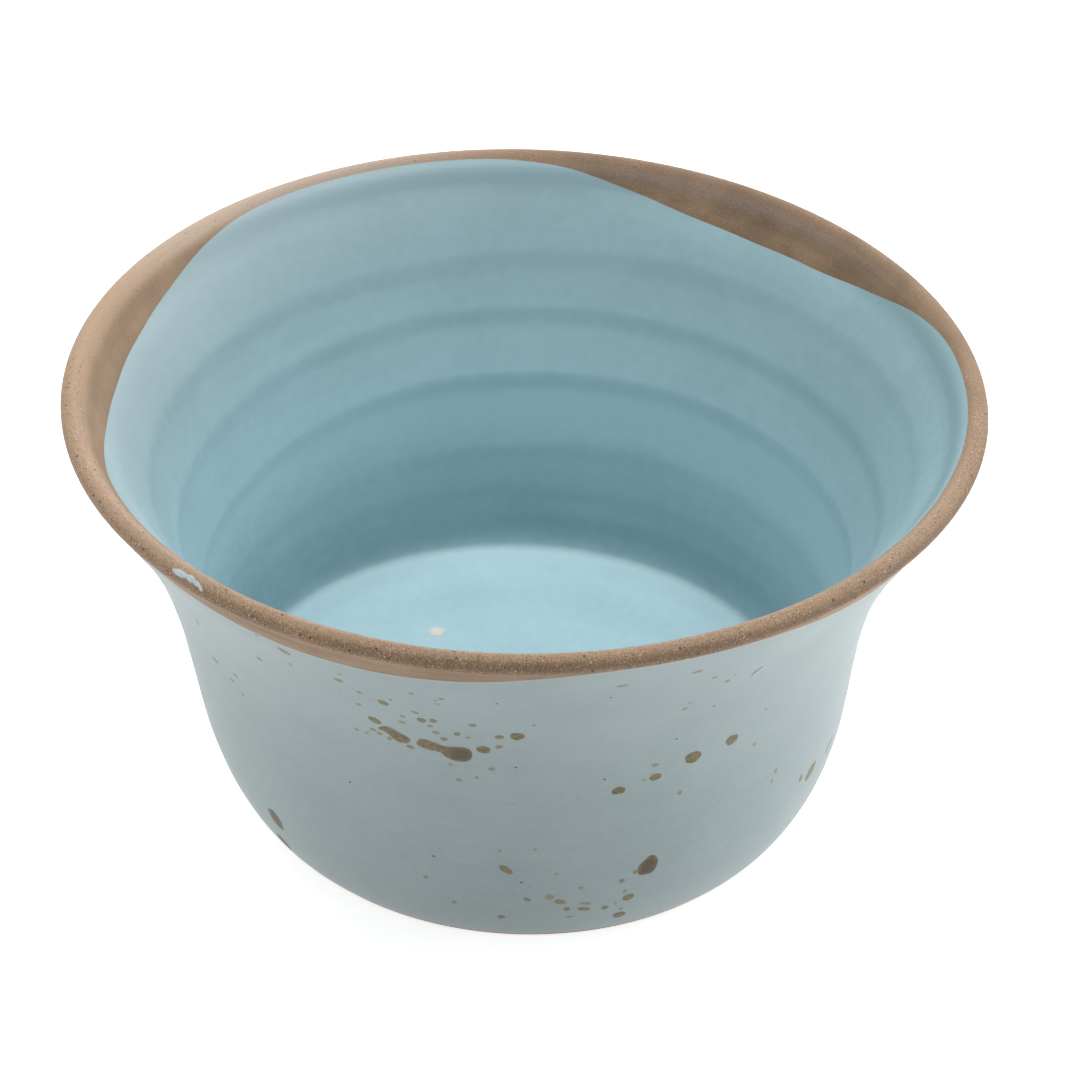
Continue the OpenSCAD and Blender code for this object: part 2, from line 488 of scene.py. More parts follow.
class Finish(Graph):
    """A material that is built up node by node."""

    def __init__(self, name):
        super().__init__(bpy.data.materials.new(name))
        self.place = self.add("ShaderNodeTexCoord", output="Object")

    def trait(self, name):
        return self.add("ShaderNodeAttribute", {"attribute_name": name}, output="Fac")

    def noise(self, size, detail=2, place=None):
        """Soft noise from 0 to 1 with lumps of about this size."""
        return self.add("ShaderNodeTexNoise", {},
                        {"Vector": place or self.place, "Scale": 1 / size, "Detail": detail})

    def wheel_lines(self, pitch):
        """Soft lines around the bowl at about this pitch."""
        stretched = self.add("ShaderNodeVectorMath", {"operation": "MULTIPLY"},
                             {0: self.place, 1: (WHEEL_STRETCH, WHEEL_STRETCH, 1 / pitch)})
        return self.noise(1, 3, stretched)

    def step(self, value, start, end):
        """A soft step from 0 at start to 1 at end."""
        return self.add("ShaderNodeMapRange", {"interpolation_type": "SMOOTHSTEP"},
                        {"Value": value, "From Min": start, "From Max": end})

    def dots(self, cell, share, reach):
        """Round dots in a share of the cells, each as wide as this reach of its cell."""
        cells = self.add("ShaderNodeTexVoronoi", {}, {"Vector": self.place, "Scale": 1 / cell})
        chance = self.add("ShaderNodeSeparateColor", {}, {"Color": cells.other("Color")}, "Red")
        dot = 1 - self.step(cells.other("Distance"), 0.5 * reach, reach)
        return dot * self.step(chance, 1 - share, 1.02 - share)

    def blend(self, share, first, second):
        """A colour between two colours."""
        return self.add("ShaderNodeMix", {"data_type": "RGBA"}, {0: share, 6: first, 7: second}, output=2)

    def layered(self, tone, *layers):
        """A colour with others laid over it, each by its share."""
        for share, colour in layers:
            tone = self.blend(share, tone, colour)
        return tone

    def surface(self, colour, roughness, height, depth, constants):
        """Ends the finish with one glossy shader over a bumped surface."""
        bumped = self.add("ShaderNodeBump", {}, {"Height": height, "Distance": depth, "Strength": 1})
        shader = self.add("ShaderNodeBsdfPrincipled", {},
                          {"Base Color": colour, "Roughness": roughness, "Normal": bumped, **constants})
        self.add("ShaderNodeOutputMaterial", {}, {"Surface": shader})
        return self.owner


def srgb(red, green, blue):
    """A colour as a paint chart gives it, turned into the light that it reflects."""
    chart = np.array([red, green, blue]) / 255
    light = np.where(chart <= 0.04045, chart / 12.92, ((chart + 0.055) / 1.055) ** 2.4)
    return (*light.tolist(), 1.0)


print("a grey of 128 on a paint chart reflects", round(srgb(128, 128, 128)[0], 3), "of the light")

# %% [markdown]
# ## The bare stoneware
#
# The clay is a warm brown stoneware with grog, which is crushed fired clay. On the roll of the lip the
# grog stands out in clusters of pale grains and dark pits, because fingers and sponge washed the fine clay
# away there. On the bare faces inside and under the roll it is smoother, with faint streaks that follow the
# wheel. Light and shade are painted into its colour as well: a painted sheen pales the lip at its sides and
# most at the left, a painted highlight lies at the back left, and painted shade darkens the back right and
# the lower half of the roll. The top of the lip is paler towards the front. A picture could be wrapped around
# the lip for all this, but noise and traits stay sharp from close by. Streaks come from noise whose third
# direction is the length along the section, so that they stay thin across the section and run long around the
# bowl.

# %% Stoneware finish
CLAY_DEEP = srgb(84, 63, 46)
CLAY_DARK = srgb(112, 89, 68)
CLAY_BROWN = srgb(138, 112, 86)
CLAY_PALE = srgb(174, 146, 117)
# The next three colours paint light and shade on the clay: a pale sheen, a pale highlight and a violet-grey
# shade.
CLAY_SHEEN = srgb(184, 155, 128)
CLAY_HIGHLIGHT = srgb(206, 196, 190)
CLAY_BACK_SHADE = srgb(105, 101, 111)
GRAIN_PALE = srgb(218, 194, 168)
GRAIN_DARK = srgb(62, 47, 37)
STREAKS_ACROSS = 900
STREAKS_AROUND = (30, 30, 0)


def stoneware_finish():
    clay = Finish("bare_stoneware")
    across = clay.add("ShaderNodeCombineXYZ", {}, {"Z": clay.trait("section") * STREAKS_ACROSS})
    scaled = {"operation": "MULTIPLY"}
    around_bowl = clay.add("ShaderNodeVectorMath", scaled, {0: clay.place, 1: STREAKS_AROUND})
    streak_place = clay.add("ShaderNodeVectorMath", {"operation": "ADD"}, {0: across, 1: around_bowl})
    streaks = clay.noise(1, 2, streak_place)
    patches = clay.noise(16 * MM, 3)
    sand = clay.noise(0.45 * MM, 2)
    sandy = clay.step(clay.trait("sandy") + (patches - 0.5) * 0.7, 0.25, 0.75)
    clusters = clay.step(clay.noise(4 * MM, 2), 0.35, 0.62)
    pale_grains = clay.dots(0.75 * MM, 0.45, 0.35)
    fine_grains = clay.dots(0.5 * MM, 0.4, 0.36)
    large_grains = clay.dots(1.7 * MM, 0.26, 0.21)
    pits = clay.dots(0.9 * MM, 0.4, 0.3)
    large_pits = clay.dots(2.4 * MM, 0.4, 0.2)
    smooth = (1 - sandy) * clay.step(streaks * 0.15 + patches * 0.85, 0.3, 0.75)
    sponged = clay.trait("sponged") * (0.08 + 0.24 * clay.step(streaks, 0.35, 0.65))
    grained = 0.2 + 0.8 * sandy
    grains = (pale_grains * 0.5 + fine_grains * 0.35) * (0.3 + 0.7 * clusters) + large_grains * 0.5
    tone = clay.blend(clay.step(patches * 0.88 + streaks * 0.12, 0.2, 0.75), CLAY_DARK, CLAY_BROWN)
    # Among these layers the pale sheen, the pale highlight and the shades at the back right and under the
    # roll are painted light and shade. The dark band along the glaze edge is the clay's own.
    tone = clay.layered(tone, (smooth * 0.35, CLAY_PALE),
                        (sponged, CLAY_PALE),
                        (clay.trait("painted_sheen_and_pale_top"), CLAY_SHEEN),
                        (clay.trait("painted_highlight"), CLAY_HIGHLIGHT),
                        (clay.trait("in_painted_shade"), CLAY_BACK_SHADE),
                        (clay.step(sand, 0.45, 0.68) * (0.22 + 0.4 * sandy), CLAY_PALE),
                        (clay.step(sand, 0.5, 0.3) * (0.15 + 0.32 * sandy), CLAY_DEEP),
                        (clay.trait("flashing_and_shade") * 0.35, CLAY_DARK),
                        (clay.trait("shaded"), CLAY_DEEP),
                        (grains * grained, GRAIN_PALE),
                        ((pits * 0.6 + large_pits * 0.85) * grained, GRAIN_DARK))
    relief = sand * 0.5 + (grains * 0.8 - pits * 0.7 - large_pits) * grained + streaks * 0.1
    return clay.surface(tone, 0.52 + 0.25 * sand, relief, 0.16 * MM, {"Specular IOR Level": 0.42})


STONEWARE = stoneware_finish()
print(STONEWARE.name, "has", len(STONEWARE.node_tree.nodes), "nodes")

# %% [markdown]
# ## The two glazes
#
# Both coats are the same kind of satin glaze. Inside it is bluer, deep in colour where it lies thick, with
# painted shade low on the wall and under the lip, and a painted sheen that pales it towards its edge at the
# left. Outside it is greyer, paler along its top edge, and pale near its foot from painted light that stands
# in for light from the white floor. Both have soft clouds, faint lines of the wheel, a fine mottle and a few
# dark pinholes. A glass-like shader with light scattered inside it would be closer to real glaze, but a plain
# glossy one with these colours looks the same on a satin surface. The outer colour is a function of its own,
# because the iron wash melts into it and has to start from the same colour at its edge.

# %% Glaze finishes
INSIDE_DEEP = srgb(131, 162, 170)
INSIDE_PALE = srgb(175, 206, 214)
INSIDE_SHEEN = srgb(182, 192, 194)
INSIDE_SPOT = srgb(222, 210, 194)
OUTSIDE_GREY = srgb(140, 155, 157)
OUTSIDE_BLUE = srgb(150, 165, 167)
OUTSIDE_PALE = srgb(174, 186, 187)
PINHOLE = srgb(70, 72, 66)


def cloudy_and_mottle(glaze, cloud_size, mottle_size):
    """Clouds broken up by a mottle and by lines of the wheel, and the mottle alone."""
    clouds = glaze.noise(cloud_size, 3)
    mottle = glaze.noise(mottle_size, 3)
    lines = glaze.wheel_lines(2 * MM)
    return glaze.step(clouds * 0.5 + mottle * 0.35 + lines * 0.15, 0.3, 0.7), mottle


def satin(glaze, tone, mottle, pins, roughness, depth):
    """Ends a glaze with the fine uneven skin of a satin surface."""
    peel = glaze.noise(0.8 * MM, 2)
    relief = peel * 0.5 + mottle * 0.5 - pins
    return glaze.surface(tone, roughness + 0.12 * mottle, relief, depth, {"Specular IOR Level": 0.6})


def inside_finish():
    glaze = Finish("satin_blue_glaze_inside")
    cloudy, mottle = cloudy_and_mottle(glaze, 24 * MM, 3 * MM)
    pins = glaze.dots(14 * MM, 0.2, 0.024)
    # Deep colour is partly thick glaze and partly painted shade, and the pale floor rim is painted light.
    tone = glaze.blend(glaze.trait("depth") + 0.2 * cloudy - 0.1, INSIDE_PALE, INSIDE_DEEP)
    # The pale layer is a painted sheen towards the edge at the left.
    tone = glaze.layered(tone, (glaze.trait("thin") * 0.5, INSIDE_SHEEN),
                         (glaze.trait("spot"), INSIDE_SPOT), (pins * 0.6, PINHOLE))
    return satin(glaze, tone, mottle, pins, 0.44, 0.04 * MM)


def outside_colour(glaze):
    cloudy, mottle = cloudy_and_mottle(glaze, 26 * MM, 2.5 * MM)
    return glaze.blend(cloudy, OUTSIDE_GREY, OUTSIDE_BLUE), mottle


def outside_finish():
    glaze = Finish("satin_grey_blue_glaze_outside")
    tone, mottle = outside_colour(glaze)
    pins = glaze.dots(9 * MM, 0.16, 0.026)
    # Paler near the foot from painted light that stands in for light from the floor, and paler along the top
    # edge.
    tone = glaze.layered(tone, (glaze.trait("thin") * 0.5, OUTSIDE_PALE), (pins * 0.8, PINHOLE))
    return satin(glaze, tone, mottle, pins, 0.4, 0.05 * MM)


INSIDE_GLAZE = inside_finish()
OUTSIDE_GLAZE = outside_finish()
print(INSIDE_GLAZE.name, "and", OUTSIDE_GLAZE.name, "are ready")

# %% [markdown]
# ## The iron wash
#
# Iron-rich wash was flicked from a brush and melted into the glaze. A thin drop is ochre, a full one is
# olive, a heavy one has a purple-brown heart, and a pinpoint of pure iron is nearly black. Every drop fades
# into the glaze around it. Drops could be painted on the coat, but as pieces of their own they keep their
# place and can be moved. Two traits on them carry the colour: core is how far a point lies from the edge
# of its drop, and iron says how much wash the drop holds.

# %% Iron finish
OCHRE = srgb(138, 124, 84)
OLIVE_PALE = srgb(120, 110, 76)
OLIVE_DARK = srgb(97, 87, 58)
IRON_BROWN = srgb(82, 67, 54)
SOFT_EDGE = 0.5 * MM
HEART_START = 0.3 * MM
HEART_FULL = 2.3 * MM


def iron_finish():
    wash = Finish("iron_wash")
    core = wash.trait("core")
    iron = wash.trait("iron")
    tone, mottle = outside_colour(wash)
    grain = wash.noise(0.6 * MM, 2)
    olive = wash.blend(wash.step(wash.noise(1.4 * MM, 3), 0.35, 0.65), OLIVE_PALE, OLIVE_DARK)
    olive = wash.blend(wash.step(iron, 0.25, 0.5), OCHRE, olive)
    edge = wash.step(core + grain * (0.2 * MM), 0.1 * MM, SOFT_EDGE)
    heart = wash.step(core + (grain - 0.3) * (1.4 * MM), HEART_START, HEART_FULL)
    tone = wash.layered(tone, (edge * wash.step(iron, 0, 0.5), olive),
                        (heart * wash.step(iron, 0.45, 1), IRON_BROWN),
                        (edge * wash.step(iron, 1.2, 1.8), PINHOLE))
    return wash.surface(tone, 0.38 + 0.12 * mottle, mottle, 0.04 * MM, {"Specular IOR Level": 0.3})


IRON_WASH = iron_finish()
print(IRON_WASH.name, "has", len(IRON_WASH.node_tree.nodes), "nodes")

# %% [markdown]
# ## Where the glaze stops
#
# The potter dipped the bowl tilted, so the edge of each coat is a slanting water line that sinks to one
# side of the bowl. It could be drawn point by point, but a dip is only a turn, a depth under the lip and a
# slope. A soft minimum joins the dips with the lip, as a liquid edge has no corners, and a slow waver keeps
# the line from looking ruled.

# %% Glaze lines
INSIDE_DIPS = [(54, 9.5 * MM, 25), (171, 10.5 * MM, 24), (-100, 2.8 * MM, 1.5)]
OUTSIDE_DIPS = [(-117, 13 * MM, 21), (-12, 13.5 * MM, 15), (96, 11 * MM, 21)]
INSIDE_TOP = 123.5 * MM
OUTSIDE_TOP = 120.2 * MM
INSIDE_SOFTNESS = 2 * MM
OUTSIDE_SOFTNESS = 1 * MM
WAVERS = [(0.2 * MM, 5, 1), (0.12 * MM, 13, 2), (0.06 * MM, 31, 0)]
WAVER_START = 2 * MM
DIP_REACH = RIM_RADIUS - 2 * LIP_RADIUS
EDGE_REACH = 8 * MM
INSIDE_TURNS = 360


def glaze_line(turns, dips, top, softness):
    """Height of a coat's edge at these turns."""
    sinking = np.ones(turns.shape)
    for turn, depth, slope in dips:
        away = DIP_REACH * (1 - np.cos(turns - np.radians(turn)))
        dip = BOWL_HEIGHT - depth + np.tan(np.radians(slope)) * away
        sinking = sinking + np.exp(-(dip - top) / softness)
    waver = sum(depth * np.sin(count * turns + start) for depth, count, start in WAVERS)
    line = top - softness * np.log(sinking)
    return line + waver * ramp(top - line, 0, WAVER_START)


def edge_swell(distance):
    """Thickness of a coat as a share of its own, from its thin edge inward."""
    share = np.clip(distance / EDGE_REACH, 0, 1)
    return share * (2 - share)


def outside_edge(turns):
    """Length along the outer line at which the outer coat ends."""
    return OUTER.length_at(glaze_line(turns, OUTSIDE_DIPS, OUTSIDE_TOP, OUTSIDE_SOFTNESS))


def inside_edge(turns):
    return INNER.length_at(glaze_line(turns, INSIDE_DIPS, INSIDE_TOP, INSIDE_SOFTNESS))


inside_line = inside_edge(around(INSIDE_TURNS))
outside_line = outside_edge(around())
print("inside edge", round(float(np.ptp(inside_line)) / MM, 1), "mm from low to high")

# %% [markdown]
# ## The clay body
#
# The body runs in one closed skin from the middle of the underside over the foot ring, up the wall, over
# the lip and down to the middle of the floor. Rows lie close together where the clay is bare and far apart
# where a coat hides it. Its rows also carry the traits of the clay, each a soft step or bump over the
# height, times one over the turn, because the painted sheen, highlight and shade on a lip, and its paler top,
# each lie on one side of it.

# %% Underside
FOOT_WIDTH = 9 * MM
RECESS = 3 * MM
RECESS_MARK = 0.06 * MM
RECESS_MARK_PITCH = 5.5 * MM
RECESS_START = 1 * MM
RECESS_MARGIN = 1.6 * MM
RECESS_ROWS = 28
RECESS_EASE = 1.2 * MM
RING_EASE = 0.6 * MM
HEEL_EASE = 0.8 * MM


def rounded_corner(before, corner, after, reach, steps=5):
    """A short curve in place of a sharp corner."""
    start = corner + reach * (before - corner) / np.linalg.norm(before - corner)
    end = corner + reach * (after - corner) / np.linalg.norm(after - corner)
    share = np.linspace(0, 1, steps)[:, None]
    return (1 - share) ** 2 * start + 2 * share * (1 - share) * corner + share**2 * end


def underside():
    """Points of the section under the bowl, from near the middle to the start of the wall."""
    middle = np.array([0, RECESS])
    recess_edge = np.array([FOOT_RADIUS - FOOT_WIDTH - RECESS / 2, RECESS])
    ring_inside = np.array([FOOT_RADIUS - FOOT_WIDTH, 0])
    wall_start = WALL_PULLS[1]
    flat = np.linspace(RECESS_START, recess_edge[0] - RECESS_MARGIN, RECESS_ROWS)
    recess = np.stack([flat, np.full(flat.shape, RECESS)], axis=1)
    recess[:, 1] += RECESS_MARK * np.sin(flat * 2 * np.pi / RECESS_MARK_PITCH)
    return np.concatenate([recess, rounded_corner(middle, recess_edge, ring_inside, RECESS_EASE),
                           rounded_corner(recess_edge, ring_inside, WALL_FOOT, RING_EASE),
                           rounded_corner(ring_inside, WALL_FOOT, wall_start, HEEL_EASE)])


print("underside has", len(underside()), "points in its section")

# %% Traits of the clay
ROLL_OUTSIDE = np.array([118.4, 120.4]) * MM
ROLL_INSIDE = np.array([120.4, 122.8]) * MM
TOP_INSIDE = np.array([120, 123]) * MM
CROWN_OUTSIDE = np.array([122.6, 123.8]) * MM
CROWN_INSIDE = np.array([121, 123]) * MM
STRIP_HEIGHTS = np.array([120.2, 118.2]) * MM
STRIP_TURN = -98
# Painted shade lies on the lower half of the roll, where it faces down.
SHADED_HEIGHT = 121.9 * MM
SHADED_WIDTH = 1.4 * MM
SHADED_TURN = -35
BACK_SHADE_HEIGHT = 121.2 * MM
BACK_SHADE_WIDTH = 1.7 * MM
BACK_SHADE_TURN = 60
HIGHLIGHT_TURN = 126
SHEEN_LEFT_TURN = 150
SHEEN_SIDES_TURN = 160
BACK_RIGHT_SHADE_TURN = 28
LIP_TOP_SHADE_TURN = 66
DARK_EDGE = 1.2 * MM


def clay_traits(turns, under, up, down):
    """Traits on the rows under the bowl, on those up the outside and on those down the inside."""
    up_heights = OUTER.at(up)[1]
    down_heights = INNER.at(down)[1]
    none_under, none_up, none_down = [np.zeros(len(rows)) for rows in (under, up, down)]

    def column(*parts):
        return np.concatenate(parts)[:, None]

    section = column(under[:, 0] - FOOT_RADIUS, up, OUTER.lengths[-1] + INNER.lengths[-1] - down)
    roll_inside = 0.15 + 0.85 * ramp(down_heights, *ROLL_INSIDE)
    roll = column(none_under + 0.5, ramp(up_heights, *ROLL_OUTSIDE), roll_inside)
    top = column(none_under, none_up + 1, ramp(down_heights, *TOP_INSIDE))
    lip_crown = column(none_under, ramp(up_heights, *CROWN_OUTSIDE), ramp(down_heights, *CROWN_INSIDE))
    strip = column(none_under, ramp(up_heights, *STRIP_HEIGHTS), none_down)
    under_roll = column(none_under, bump(up_heights, SHADED_HEIGHT, SHADED_WIDTH), none_down)
    inner_face = column(none_under, none_up, bump(down_heights, BACK_SHADE_HEIGHT, BACK_SHADE_WIDTH))
    from_glaze = np.concatenate([np.ones((len(under), len(turns))), np.abs(up[:, None] - outside_edge(turns)),
                                 np.abs(down[:, None] - inside_edge(turns))])
    sandy_front = 0.35 + 0.65 * ramp(-np.sin(turns), -0.3, 0.5)
    right = np.clip(np.cos(turns - np.radians(SHADED_TURN)), 0, 1) ** 3
    # Painted sheen: the lip is paler on both sides and most at the left, where the light falls on it.
    sheen_sides = 0.4 * np.cos(turns - np.radians(SHEEN_SIDES_TURN)) ** 2
    sheen_left = 0.5 * (0.5 + 0.5 * np.cos(turns - np.radians(SHEEN_LEFT_TURN))) ** 4
    # The top of the lip is paler towards the front.
    crown_front = (0.38 - 0.3 * right) * ramp(-np.sin(turns), 0, 0.4)
    # A dark band of clay along the glaze edge, and painted shade on the back right face and on the lip's top
    # there.
    dark = 0.4 * bump(from_glaze, 0, DARK_EDGE) + 0.7 * near_turn(turns, BACK_RIGHT_SHADE_TURN, 0.05)
    return {"section": section,
            "sandy": roll * sandy_front,
            "flashing_and_shade": dark + 0.9 * top * near_turn(turns, LIP_TOP_SHADE_TURN, 0.1),
            # Painted shade on the lower half of the roll, strongest at the front right.
            "shaded": under_roll * (0.18 + 0.48 * right),
            "sponged": strip * near_turn(turns, STRIP_TURN, 0.06),
            # Painted highlight: a pale patch on the top of the lip at the back left, where the light catches
            # it.
            "painted_highlight": 0.36 * lip_crown * near_turn(turns, HIGHLIGHT_TURN, 0.1),
            # Painted shade: the inner face of the lip at the back right is darker, as it faces away from the
            # light.
            "in_painted_shade": 0.36 * inner_face * near_turn(turns, BACK_SHADE_TURN, 0.12),
            "painted_sheen_and_pale_top": (0.4 + 0.6 * top) * (sheen_sides + sheen_left) + lip_crown * crown_front}


print("the clay is darkest at a turn of", SHADED_TURN, "degrees and smoked at", BACK_SHADE_TURN, "degrees")

# %% Stoneware body
BODY_TURNS = 432
BARE_OUTSIDE = 108 * MM
BARE_INSIDE = 111 * MM
FOOT_EASE = 0.9 * MM
MIDDLE_GAP = 3 * MM


def lengths_through(first, *stretches):
    """Lengths from the first one on through stretches, each given as its end and its number of steps."""
    lengths = [np.array([first])]
    for end, steps in stretches:
        lengths.append(np.linspace(lengths[-1][-1], end, steps + 1)[1:])
    return np.concatenate(lengths)


def body_shape():
    turns = around(BODY_TURNS)
    under = underside()
    up = lengths_through(FOOT_EASE, (OUTER.length_at(BARE_OUTSIDE), 25), (OUTER.lengths[-1], 63))
    down = lengths_through(INNER.lengths[-1], (INNER.length_at(BARE_INSIDE), 43), (CORNER_END, 31),
                           (CORNER_START, 11), (MIDDLE_GAP, 9))[1:]
    rows = [placed(turns, radius, height, SWAY) for radius, height in under]
    rows += [outside(turns, length, 0) for length in up]
    rows += [inside(turns, length, 0) for length in down]
    return skin(rows, clay_traits(turns, under, up, down), [[SWAY, 0, RECESS], [0, 0, FLOOR_TOP]])


piece("stoneware_body_thrown", body_shape(), STONEWARE, "stoneware_body")

# %% [markdown]
# ## The coats
#
# Each coat is a closed shell half a millimetre thick that lies on the clay and follows its marks. A
# Solidify modifier on a copy of the clay would be quicker, but its edge would be as thick as the rest. Here
# the rows near the edge crowd together, because the coat thins out there. On the floor a pale spot shows
# where the glaze pulled away from the clay. The trait depth says how deep in colour the coat is. It is partly
# how thick the coat lies, as it ran down the wall before it set, and partly painted shade and light: darker
# low on the wall and under the lip, where shade falls, pale on the floor's rim, where the light is brightest,
# and in soft waves over the floor.

# %% Inside glaze
SUNK = 0.05 * MM
STEADY_HEIGHT = 102 * MM
SHEEN_REACH = 24 * MM
# Part glaze thickness, part painted shade and light: darker low on the wall and under the lip, pale on the
# floor's rim, in waves on the floor.
DEPTHS_AND_SHADES = np.array([(12, 0.25), (15.2, 0.1), (17.4, 0.24), (19, 0.05), (20.6, 0), (22.4, 0.87), (31, 0.95),
                   (41, 0.6), (50, 0.3), (58, 0), (66, 0), (76, 0.1), (85, 0.22), (92, 0.42), (105, 0.6),
                   (114, 0.65), (118.5, 1.1)])
SPOT_PLACE = np.array([-22.4, 42.1]) * MM
SPOT_LENGTH = 2.2 * MM
SPOT_WIDTH = 1.6 * MM
SPOT_MARGIN = 4 * MM
SPOT_CEILING = np.array([40, 20]) * MM
INSIDE_EDGE_ROWS = 44
INSIDE_CROWDING = 1.5


def spot_share(points):
    """1 in the middle of the bare spot on the floor and 0 away from it."""
    along = (points[..., 0] - SPOT_PLACE[0]) / SPOT_LENGTH
    across = (points[..., 1] - SPOT_PLACE[1]) / SPOT_WIDTH
    return ramp(np.hypot(along, across), 1.15, 0.65) * ramp(points[..., 2], *SPOT_CEILING)


def up_to_edge(fixed, line, rows, crowding):
    """Lengths at fixed rows, and then at rows that crowd together towards the edge of a coat."""
    shares = np.linspace(1, 0, rows)[1:, None] ** crowding
    return np.concatenate([np.broadcast_to(fixed[:, None], (len(fixed), len(line))),
                           line - shares * (line - fixed[-1])])


def inside_shape():
    turns = around(INSIDE_TURNS)
    spot_away = np.hypot(*SPOT_PLACE)
    fixed = lengths_through(MIDDLE_GAP, (spot_away - SPOT_MARGIN, 9), (spot_away + SPOT_MARGIN, 20),
                            (CORNER_START, 13), (CORNER_END, 15), (INNER.length_at(STEADY_HEIGHT), 115))
    lengths = up_to_edge(fixed, inside_line, INSIDE_EDGE_ROWS, INSIDE_CROWDING)
    swell = edge_swell(inside_line - lengths)
    flat = inside(turns, lengths, GLAZE)
    spot = spot_share(flat)
    front = inside(turns, lengths, -SUNK + (GLAZE + SUNK) * swell * (1 - 0.8 * spot))
    back_rows = np.concatenate([np.arange(0, len(lengths), 6), [len(lengths) - 2]])
    back = inside(turns, lengths[back_rows], -SUNK)
    # Painted sheen: the inner coat is paler towards its edge at the left, where the light falls.
    left = (0.5 - 0.5 * np.cos(turns)) ** 2
    thin = 0.9 * left * bump(inside_line - lengths, 0, SHEEN_REACH)
    order = np.concatenate([back_rows, np.arange(len(lengths) - 1, -1, -1)])
    # Part glaze thickness, part painted shade and light.
    depth = np.interp(INNER.at(lengths)[1], DEPTHS_AND_SHADES[:, 0] * MM, DEPTHS_AND_SHADES[:, 1])
    traits = {"thin": thin[order], "spot": spot[order], "depth": depth[order]}
    middles = [[0, 0, FLOOR_TOP - SUNK], [0, 0, FLOOR_TOP + GLAZE]]
    return skin(np.concatenate([back, front[::-1]]), traits, middles)


piece("inside_glaze_coat", inside_shape(), INSIDE_GLAZE, "inside_glaze")

# %% Outside glaze
BOTTOM_REACH = 6 * MM
BOTTOM_LIGHT = 12 * MM
EDGE_PALE = 1.5 * MM
OUTSIDE_EDGE_ROWS = 30
OUTSIDE_CROWDING = 1.7
bottom = OUTER.length_at(GLAZE_STOP)


def on_coat(turns, lengths, lift):
    """Points over the outer coat, which thins towards both of its edges."""
    from_edge = np.minimum(outside_edge(turns) - lengths, lengths - bottom)
    return outside(turns, lengths, lift - SUNK + (GLAZE + SUNK) * edge_swell(from_edge))


def outside_shape():
    turns = around()
    steady = OUTER.length_at(STEADY_HEIGHT)
    near_bottom = bottom + BOTTOM_REACH * np.linspace(0, 1, 10)[:-1] ** OUTSIDE_CROWDING
    fixed = np.concatenate([near_bottom, np.linspace(bottom + BOTTOM_REACH, steady, 76)])
    lengths = up_to_edge(fixed, outside_line, OUTSIDE_EDGE_ROWS, OUTSIDE_CROWDING)
    front = on_coat(turns, lengths, 0)
    back_rows = np.arange(len(lengths) - 2, 0, -4)
    back = outside(turns, lengths[back_rows], -SUNK)
    # The outer coat is paler along its top edge, and paler near its foot from painted light that stands in
    # for light from the white floor.
    thin = 0.6 * bump(outside_line - lengths, 0, EDGE_PALE) + bump(lengths - bottom, 0, BOTTOM_LIGHT)
    order = np.concatenate([np.arange(len(lengths)), back_rows])
    return skin(np.concatenate([front, back]), {"thin": thin[order]})


piece("outside_glaze_coat", outside_shape(), OUTSIDE_GLAZE, "outside_glaze")

# %% [markdown]
# ## Drops of iron wash
#
# A drop is a shallow lens on the outer coat. Most are ellipses that narrow to one end, like a leaf or a
# tear, with a little unevenness. The largest ran together while they were wet, so their outlines are given
# point by point. A drop could be cut out of the coat, but a lens laid over it needs no cutting and has a soft
# rim.
# It is laid on the wall by its turn and height, and each flick of the brush is one piece with many drops.

# %% Outlines of drops
SMALL_DROP = 2.5
SMALL_SPOKES = 18
LARGE_SPOKES = 40
SPREAD = 0.25 * MM


def drop_outline(spokes, taper, seed):
    """Outline of a drop one unit wide and long, as places along and across it."""
    angle = np.arange(spokes) * 2 * np.pi / spokes
    wave = np.random.default_rng(seed).uniform(0, 2 * np.pi, 3)
    uneven = 1 + sum(depth * np.sin(count * angle + start)
                     for count, depth, start in zip((2, 3, 5), (0.04, 0.04, 0.03), wave))
    along = 0.5 * np.cos(angle) * uneven
    across = 0.5 * np.sin(angle) * uneven * (1 + taper * np.cos(angle))
    return along, across


def softened(outline, steps):
    """More points on a closed outline, with its corners eased."""
    count = len(outline)
    at = np.arange(count * steps) / steps
    loop = np.concatenate([outline, outline[:1]])
    fine = np.stack([np.interp(at, np.arange(count + 1), loop[:, axis]) for axis in (0, 1)], axis=1)
    shifted = [np.roll(fine, shift, axis=0) for shift in (-2, -1, 0, 0, 1, 2)]
    return sum(shifted) / len(shifted)


def spread(outline):
    """A closed outline moved outward, as wash spreads into the glaze around a drop."""
    along = np.roll(outline, -1, axis=0) - np.roll(outline, 1, axis=0)
    outward = np.stack([along[:, 1], -along[:, 0]], axis=1)
    return outline + SPREAD * outward / np.linalg.norm(outward, axis=1)[:, None]


def leaning(length, width, tilt, taper, seed):
    """Outline of a drop in metres along and up the wall, tilted by some degrees."""
    spokes = SMALL_SPOKES if length < SMALL_DROP else LARGE_SPOKES
    along, across = drop_outline(spokes, taper, seed)
    lean = np.radians(tilt)
    sideways = along * length * np.cos(lean) - across * width * np.sin(lean)
    upward = along * length * np.sin(lean) + across * width * np.cos(lean)
    return np.stack([sideways, upward], axis=1) * MM


print("a drop has", SMALL_SPOKES, "or", LARGE_SPOKES, "points around it")

# %% Lenses on the wall
IRON_CHANGE = np.array([-1, 4.5]) * MM


